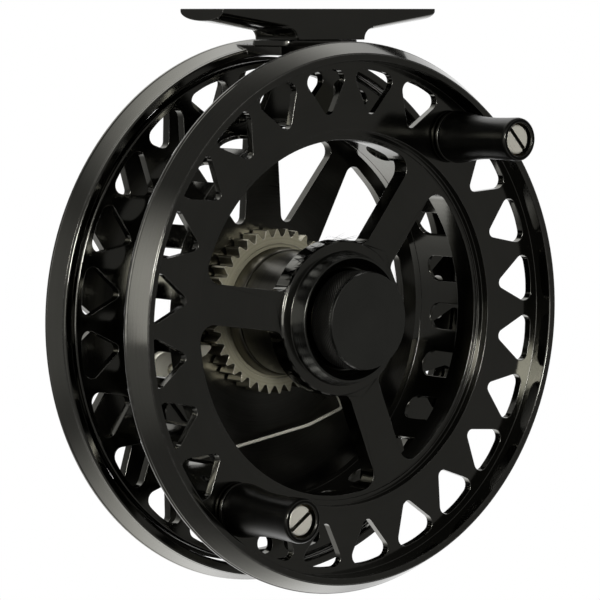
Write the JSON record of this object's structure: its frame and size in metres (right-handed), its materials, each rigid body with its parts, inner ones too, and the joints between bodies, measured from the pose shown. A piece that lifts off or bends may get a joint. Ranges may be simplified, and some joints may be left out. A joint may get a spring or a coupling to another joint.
{
  "type": "fly reel",
  "caption": "Large-arbor fly reel: pierced open frame with foot, slotted-arbor spool, click gear and pawl, two crank handles and a front tension knob.",
  "frame": {"origin": "centre of the reel foot's flat top face, which seats against the rod", "axes": "+X along the rod, +Y along the spool's axis from the handle side to the back plate, +Z from the spool's axis up to the rod"},
  "size_m": [0.117, 0.0562, 0.1233],
  "materials": {
    "black_anodised": "gloss black anodised",
    "steel": "machined",
    "nickel": "bright nickel plated",
    "brass": "turned",
    "friction_fibre": "matt fibre"
  },
  "bodies": {
    "frame": {"frame_ring": "black_anodised", "back_plate": "black_anodised", "reel_foot": "black_anodised", "foot_screw_1": "nickel", "foot_screw_2": "nickel", "spindle": "steel", "spindle_washer": "nickel", "spindle_nut": "black_anodised", "pawl_pin": "steel", "click_spring": "nickel", "spring_anchor": "steel", "spring_post": "black_anodised", "panel_screw": "steel"},
    "spool": {"spool_front_flange": "black_anodised", "spool_arbor": "black_anodised", "spool_rear_flange": "black_anodised", "spool_hub": "black_anodised", "front_bearing": "steel", "bearing_spacer": "black_anodised", "rear_bearing": "steel", "gear_collar": "steel", "click_gear": "steel", "gear_screw_1": "nickel", "gear_screw_2": "nickel", "gear_screw_3": "nickel", "handle_1_screw": "nickel", "handle_1_washer": "black_anodised", "handle_2_screw": "nickel", "handle_2_washer": "black_anodised", "friction_washer": "friction_fibre"},
    "handle_1": {"handle_1_grip": "black_anodised", "handle_1_bush": "brass"},
    "handle_2": {"handle_2_grip": "black_anodised", "handle_2_bush": "brass"},
    "knob": {"spool_knob": "black_anodised", "knob_insert": "brass", "spring_washer": "steel"},
    "pressure_plate": {"pressure_plate": "steel"},
    "pawl": {"click_pawl": "steel"}
  },
  "joints": [
    {"name": "spool_turn", "type": "hinge", "parent": "frame", "child": "spool", "pos_m": [0, -0.0172, -0.0648], "axis": [0, 1, 0], "continuous": true},
    {"name": "handle_1_turn", "type": "hinge", "parent": "spool", "child": "handle_1", "pos_m": [0.02931, -0.0242, -0.02729], "axis": [0, 1, 0], "continuous": true},
    {"name": "handle_2_turn", "type": "hinge", "parent": "spool", "child": "handle_2", "pos_m": [-0.02931, -0.0242, -0.10231], "axis": [0, 1, 0], "continuous": true},
    {"name": "knob_turn", "type": "hinge", "parent": "frame", "child": "knob", "pos_m": [0, -0.0172, -0.0648], "axis": [0, 1, 0], "range_deg": [0, 270]},
    {"name": "pressure_slide", "type": "slide", "parent": "frame", "child": "pressure_plate", "axis": [0, 1, 0], "range_m": [0, 0.0004]},
    {"name": "pawl_rock", "type": "hinge", "parent": "frame", "child": "pawl", "pos_m": [-0.0276, 0.0132, -0.0756], "axis": [0, 1, 0], "range_deg": [-8, 8], "stiffness_Nm_per_rad": 0.01}
  ],
  "couplings": [
    {"joint": "pressure_slide", "follows": "knob_turn", "m_per_rad": 0.000084}
  ]
}
